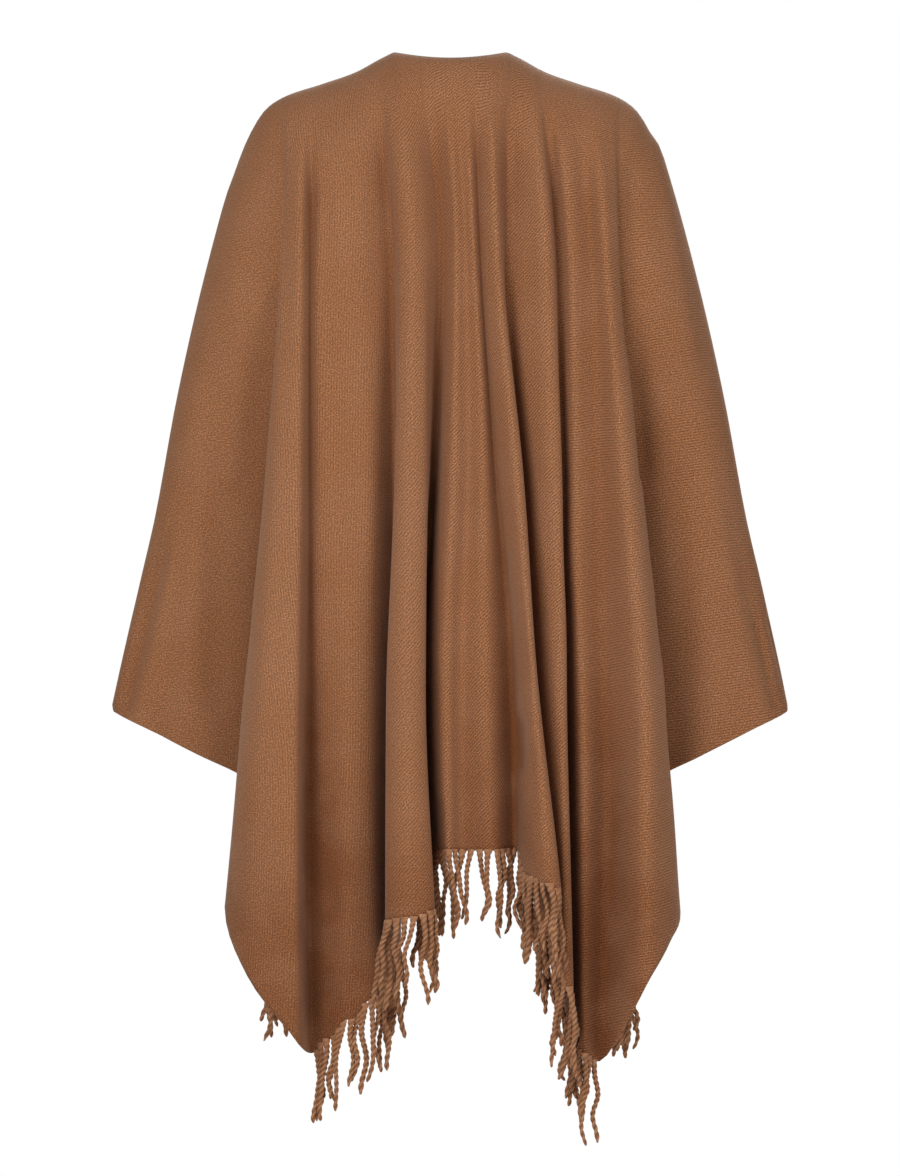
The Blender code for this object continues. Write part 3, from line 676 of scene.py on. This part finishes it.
def grid_faces(rows, columns, flip):
    """Quads of a grid, wound so that they face outwards."""
    index = np.arange(rows * columns).reshape(rows, columns)
    quads = np.stack([index[:-1, :-1], index[1:, :-1], index[1:, 1:], index[:-1, 1:]], axis=-1)
    quads = quads.reshape(-1, 4)
    return (quads[:, ::-1] if flip else quads).tolist()


def mesh_piece(name, points, faces, look):
    """Object at the origin, with smooth faces, from an array of points and a list of faces."""
    mesh = bpy.data.meshes.new(name)
    mesh.from_pydata(points.reshape(-1, 3).tolist(), [], faces)
    mesh.shade_smooth()
    mesh.materials.append(look)
    made = bpy.data.objects.new(name, mesh)
    bpy.context.scene.collection.objects.link(made)
    return made


def give_uv(made, name, across, along):
    """UV map from two numbers per vertex."""
    corner = np.empty(len(made.data.loops), dtype=np.int32)
    made.data.loops.foreach_get("vertex_index", corner)
    uv = np.stack([across, along], axis=-1).reshape(-1, 2)
    made.data.uv_layers.new(name=name).data.foreach_set("uv", uv[corner].ravel())


def cloth_piece(name, points, across, outward, facing, look, joins=()):
    """Panel of cloth with its UV map in metres, its attribute of rib ways and painted shade, and
    its thickness.

    The map's height is measured up from the hem, which keeps its own height.
    """
    rows, columns = points.shape[:2]
    made = mesh_piece(name, points, grid_faces(rows, columns, outward < 0), look)
    cloth_across, cloth_down = cloth_measure(points, joins)
    give_uv(made, "cloth", cloth_across, points[-1:, :, 2] + cloth_down[-1:] - cloth_down)
    colours = made.data.color_attributes.new("rib_ways_and_painted_shading", "FLOAT_COLOR", "POINT")
    colours.data.foreach_set("color", rib_ways_and_painted_shading(points, across, facing).ravel())
    wall = made.modifiers.new("thickness", "SOLIDIFY")
    wall.thickness = CLOTH_THICKNESS
    wall.offset = 0
    return made


hidden_turns = ("centre turn", "left deep turn", "left hidden turn",
                "right recess turn", "right fold turn", "right hidden turn")
back = cloth_piece("Poncho_Back", back_points, back_across, back_outward, -1, camel_twill,
                   [back_rows[name] * COLUMNS_PER_ROW for name in hidden_turns])
left = cloth_piece("Poncho_Front_Left", left_points, left_across, left_outward, 1, camel_twill)
right = cloth_piece("Poncho_Front_Right", right_points, right_across, right_outward, 1, camel_twill)
for piece, solid in ((back, "Back_Panel"), (left, "Front_Panel_Left"),
                     (right, "Front_Panel_Right")):
    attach(piece, "root")
    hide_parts(solid)
    print(piece.name, len(piece.data.polygons), "quads before thickness")

# %% [markdown]
# ## Twisted fringe
# Along each hem the warp ends are gathered in bundles and each bundle is twisted of two plies
# into a soft cord, which untwists a little at its end. A strand here is a two-lobed outline
# carried down a wavy path and turned as it goes. It starts wide and flat in the hem, like the
# bundle that feeds it. All strands of one hem are one mesh.

# %% Yarn material
YARN = (0.320, 0.143, 0.066, 1)
YARN_LIT = (0.390, 0.192, 0.100, 1)
# painted shade between the plies
YARN_PAINTED_SHADE = (0.12, 0.045, 0.018, 1)
DRAWN_OUT = (9, 260, 1)    # cells of the fibre noise round a strand, and to a metre along it


def yarn(name):
    """Soft yarn: fibres as fine noise drawn out along the strand, with painted shade between the
    plies.
    """
    made, tree, shader = new_material(name)
    along = node(tree, "ShaderNodeUVMap", uv_map="strand").outputs[0]
    drawn = node(tree, "ShaderNodeMapping", {"Vector": along, "Scale": DRAWN_OUT}).outputs[0]
    fibre = noise(tree, drawn, 1, 3)
    place = node(tree, "ShaderNodeTexCoord").outputs["Object"]
    blotch = ramp(tree, noise(tree, place, 90, 2), 0.3, 0.7)
    painted_ply_shade = node(tree, "ShaderNodeAttribute", attribute_name="painted_ply_shade").outputs["Fac"]
    base = mixed(tree, blotch, YARN, YARN_LIT)
    # painted shade: between the plies the colour darkens towards the dark brown
    base = mixed(tree, math_node(tree, "MULTIPLY", painted_ply_shade, 0.75), base, YARN_PAINTED_SHADE)
    shade = math_node(tree, "MULTIPLY_ADD", fibre, 0.7, 0.65)
    finish_fibres(tree, shader, base, shade, fibre, roughness=0.9, specular=0.15)
    return made


camel_yarn = yarn("twisted camel yarn")
print("nodes in the yarn:", len(camel_yarn.node_tree.nodes))

# %% Strand roots along a hem
STRAND_SPACING = 9.6 * MM
HEM_END = 0.08             # of a row, clear at each end of the hem
HEM_SAMPLES = 900
ABOVE_HEM = 0.99           # place down from which a strand takes its first direction


def hem_places(folds, hem, facing):
    """Points along a hem, one per strand, with the way along the hem and the way down the cloth."""
    across = np.linspace(hem[0] + HEM_END, hem[1] - HEM_END, HEM_SAMPLES)
    edge = sheet_points(folds, hem, across, [SEAM_EDGE, 0, ABOVE_HEM, 1], facing, 0.0)
    line, above = edge[-1], edge[-2]
    run = running_sum(np.linalg.norm(np.diff(line, axis=0), axis=1))
    count = int(run[-1] // STRAND_SPACING)
    places = (np.arange(count) + 0.5) * run[-1] / count

    def read(curve, at):
        """Points of a curve at a way along the hem."""
        return np.stack([np.interp(at, run, curve[:, k]) for k in range(3)], axis=1)

    roots = read(line, places)
    along = read(line, places + MM) - read(line, places - MM)
    along[:, 2] = 0
    return roots, unit(along), unit(roots - read(above, places))


back_roots = hem_places(back_folds, back_hem, -1)
print("strands on the back hem:", len(back_roots[0]))

# %% Paths of the strands
STRAND_POINTS = 58
SLOW_WAVE, QUICK_WAVE, LEAN = 3.4, 1.5, 4.5     # sizes in mm
ROOT_LEAD = 8 * MM         # how far the cloth's own slope carries a strand's start
ROOT_TUCK = 1.5 * MM       # length of a strand inside the hem
down_strand = np.linspace(0, 1, STRAND_POINTS)


def strand_paths(roots, way, length, seed):
    """Paths (strand, point, 3) and lengths of strands: straight down, swaying in two waves.

    The waves grow as the 0.6th power of the way down, and each strand leans a little.
    """
    random = np.random.default_rng(seed)
    count = len(roots)
    part = down_strand[None, :]
    own = length * random.uniform(0.80, 1.10, (count, 1))
    path = way[:, None, :] * ROOT_LEAD * (1 - np.exp(-part * 12))[:, :, None]
    path[:, :, 2] = -own * part
    for axis, size in ((0, 1.0), (1, 0.9)):
        slow, quick = random.uniform(4.5, 8.5, (count, 1)), random.uniform(9, 15, (count, 1))
        start, second = (random.uniform(0, ANY_PHASE, (count, 1)),
                         random.uniform(0, ANY_PHASE, (count, 1)))
        wave = SLOW_WAVE * (np.sin(slow * part + start) - np.sin(start))
        wave = wave + QUICK_WAVE * (np.sin(quick * part + second) - np.sin(second))
        lean = random.normal(0, LEAN, (count, 1)) * part
        path[:, :, axis] += (wave * part ** 0.6 + lean) * size * MM
    return (roots - way * ROOT_TUCK)[:, None, :] + path, own


print("each strand has", STRAND_POINTS, "points")

# %% Twisted two-lobed tubes
STRAND_SIDES = 10
STRAND_RADIUS = 3.4 * MM
PLY_PITCH = 11.0 * MM      # length of one full turn
FRAYED = 0.07              # of the length, at the end
around_strand = np.linspace(0, 2 * math.pi, STRAND_SIDES, endpoint=False)


def twisted_tubes(paths, own, along, seed):
    """Points (strand, point, side, 3) of the strands, and how deep each lies between the plies.

    Across a strand the radius is R (0.82 + 0.18 cos 2a), two lobes for two plies, turned by one
    turn per pitch. At the root it is stretched along the hem and flattened, and at the end it
    narrows and frays.
    """
    random = np.random.default_rng(seed)
    count = len(paths)
    part = down_strand[None, :, None]
    turned = 2 * math.pi * part * own[:, :, None] / PLY_PITCH
    turned = turned + random.uniform(0, ANY_PHASE, (count, 1, 1))
    untwist = 1 - 0.12 * part ** 3
    lobe = np.cos(2 * (around_strand - turned * untwist))
    size = STRAND_RADIUS * random.uniform(0.82, 1.08, (count, 1, 1))
    taper = 1 - 0.18 * part - 0.55 * np.clip((part - 1 + FRAYED) / FRAYED, 0, 1) ** 2
    gathered = np.exp(-part * 14)
    radius = size * taper * (0.82 + 0.18 * lobe * (1 - gathered))
    wide = radius * (1 + 0.9 * gathered) * np.cos(around_strand)
    deep = radius * (1 - 0.5 * gathered) * np.sin(around_strand)
    out = np.cross(along, [0, 0, 1.0])
    points = (paths[:, :, None, :] + along[:, None, None, :] * wide[..., None]
              + out[:, None, None, :] * deep[..., None])
    # the second array says how deep each point lies between the plies, which sets the yarn's
    # painted shade
    return points, np.clip(0.5 - 0.9 * lobe, 0, 1) * (1 - gathered)


def tube_faces(count):
    """Quads round each strand, and a cap at each of its ends."""
    side = np.arange(STRAND_SIDES)
    ring = np.arange(count)[:, None] * STRAND_POINTS + np.arange(STRAND_POINTS - 1)
    a = ring[..., None] * STRAND_SIDES + side
    b = ring[..., None] * STRAND_SIDES + np.roll(side, -1)
    quads = np.stack([a, b, b + STRAND_SIDES, a + STRAND_SIDES], axis=-1).reshape(-1, 4)
    first = np.arange(count)[:, None] * STRAND_POINTS * STRAND_SIDES + side[::-1]
    last = first[:, ::-1] + (STRAND_POINTS - 1) * STRAND_SIDES
    return quads.tolist() + first.tolist() + last.tolist()


print("each strand has", len(tube_faces(1)), "faces")

# %% Fringe pieces
UV_APART = 3.0             # from one strand to the next in the yarn's UV map


def fringe_piece(name, places, length, seed, look):
    """All strands of one hem, with their UV map and the depth between their plies that sets the
    painted shade there.
    """
    roots, along, way = places
    paths, own = strand_paths(roots, way, length, seed)
    points, painted_ply_shade = twisted_tubes(paths, own, along, seed + 50)
    made = mesh_piece(name, points, tube_faces(len(roots)), look)
    turn = around_strand / (2 * math.pi) + UV_APART * np.arange(len(roots))[:, None, None]
    run = down_strand[None, :, None] * own[:, :, None]
    give_uv(made, "strand", np.broadcast_to(turn, painted_ply_shade.shape), np.broadcast_to(run, painted_ply_shade.shape))
    grooves = made.data.attributes.new("painted_ply_shade", "FLOAT", "POINT")
    grooves.data.foreach_set("value", painted_ply_shade.ravel())
    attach(made, "root")
    return made


back_fringe = fringe_piece("Fringe_Back", back_roots, 84 * MM, 11, camel_yarn)
left_fringe = fringe_piece(
    "Fringe_Front_Left", hem_places(left_folds, front_hem, 1), 90 * MM, 12, camel_yarn)
right_fringe = fringe_piece(
    "Fringe_Front_Right", hem_places(right_folds, front_hem, 1), 90 * MM, 13, camel_yarn)
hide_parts("Back_Fringe")
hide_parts("Front_Fringe_Left")
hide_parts("Front_Fringe_Right")
for piece in (back_fringe, left_fringe, right_fringe):
    print(piece.name, len(piece.data.polygons), "faces")

# %% [markdown]
# ## What the cloth was cut to
# The back is one width of 1.64 m from cuff to cuff and 0.80 m long. Each front is 0.76 m wide
# and 0.74 m long. They drape over the wearer, and the fronts hang from the back's seam.

print("three sheets: the back and two fronts")

# %% [markdown]
# ## Studio
# The photograph has an even white ground and large soft lights in front, so folds are modelled
# by soft shade and not by hard shadows. A white world gives the ground and the fill, and two
# large panels give direction. A third lights the open front, which the photograph doesn't show.

# %% Floor, world and lights
FLOOR_DROP = 1.45
FLOOR_RADIUS = 1.6
FLOOR_MIDDLE = 0.5
FLOOR_SIDES = 96
AMBIENT = 0.31             # light from the white room, where the camera sees pure white


def white_floor():
    """Wide disc under the poncho, pale and even: a ring of quads round a flat middle."""
    made, _, shader = new_material("studio floor")
    shader.inputs["Base Color"].default_value = (0.92, 0.92, 0.92, 1)
    shader.inputs["Roughness"].default_value = 1.0
    shader.inputs["Specular IOR Level"].default_value = 0.0
    turn = np.linspace(0, 2 * math.pi, FLOOR_SIDES, endpoint=False)
    ring = np.stack([np.cos(turn), np.sin(turn), np.zeros(FLOOR_SIDES)], axis=1)
    points = np.concatenate([ring * FLOOR_MIDDLE, ring * FLOOR_RADIUS]) - [0, 0, FLOOR_DROP]
    index = np.arange(FLOOR_SIDES)
    ahead = np.roll(index, -1)
    rim = np.stack([index, index + FLOOR_SIDES, ahead + FLOOR_SIDES, ahead], axis=1)
    mesh_piece("Floor", points, rim.tolist() + [index.tolist()], made)


def soft_panel(name, place, aim, size, power):
    """Square area light that looks at a point: places and size in metres, power in watts."""
    data = bpy.data.lights.new(name, "AREA")
    data.size = size
    data.energy = power
    light = bpy.data.objects.new(name, data)
    away = np.array(place) - np.array(aim)
    flat = math.hypot(away[0], away[1])
    light.location = place
    light.rotation_euler = (math.atan2(flat, away[2]), 0, math.atan2(away[0], -away[1]))
    bpy.context.scene.collection.objects.link(light)


white_floor()
soft_panel("key", (-0.9, -2.4, 0.5), (0, 0, -0.30), 1.1, 49)
soft_panel("fill", (2.2, -2.4, 0.3), (0, 0, -0.35), 1.5, 34)
soft_panel("far side", (0.6, 2.9, 0.6), (0, 0, -0.35), 1.8, 100)
world = bpy.data.worlds.new("studio")
world.use_nodes = True
ground = world.node_tree.nodes["Background"]
ground.inputs["Color"].default_value = (1, 1, 1, 1)
seen = node(world.node_tree, "ShaderNodeLightPath").outputs["Is Camera Ray"]
strength = math_node(world.node_tree, "MULTIPLY_ADD", seen, 1 - AMBIENT, AMBIENT)
world.node_tree.links.new(strength, ground.inputs["Strength"])
bpy.context.scene.world = world
bpy.context.scene.view_settings.view_transform = "Standard"
print("floor at", -FLOOR_DROP, "m")
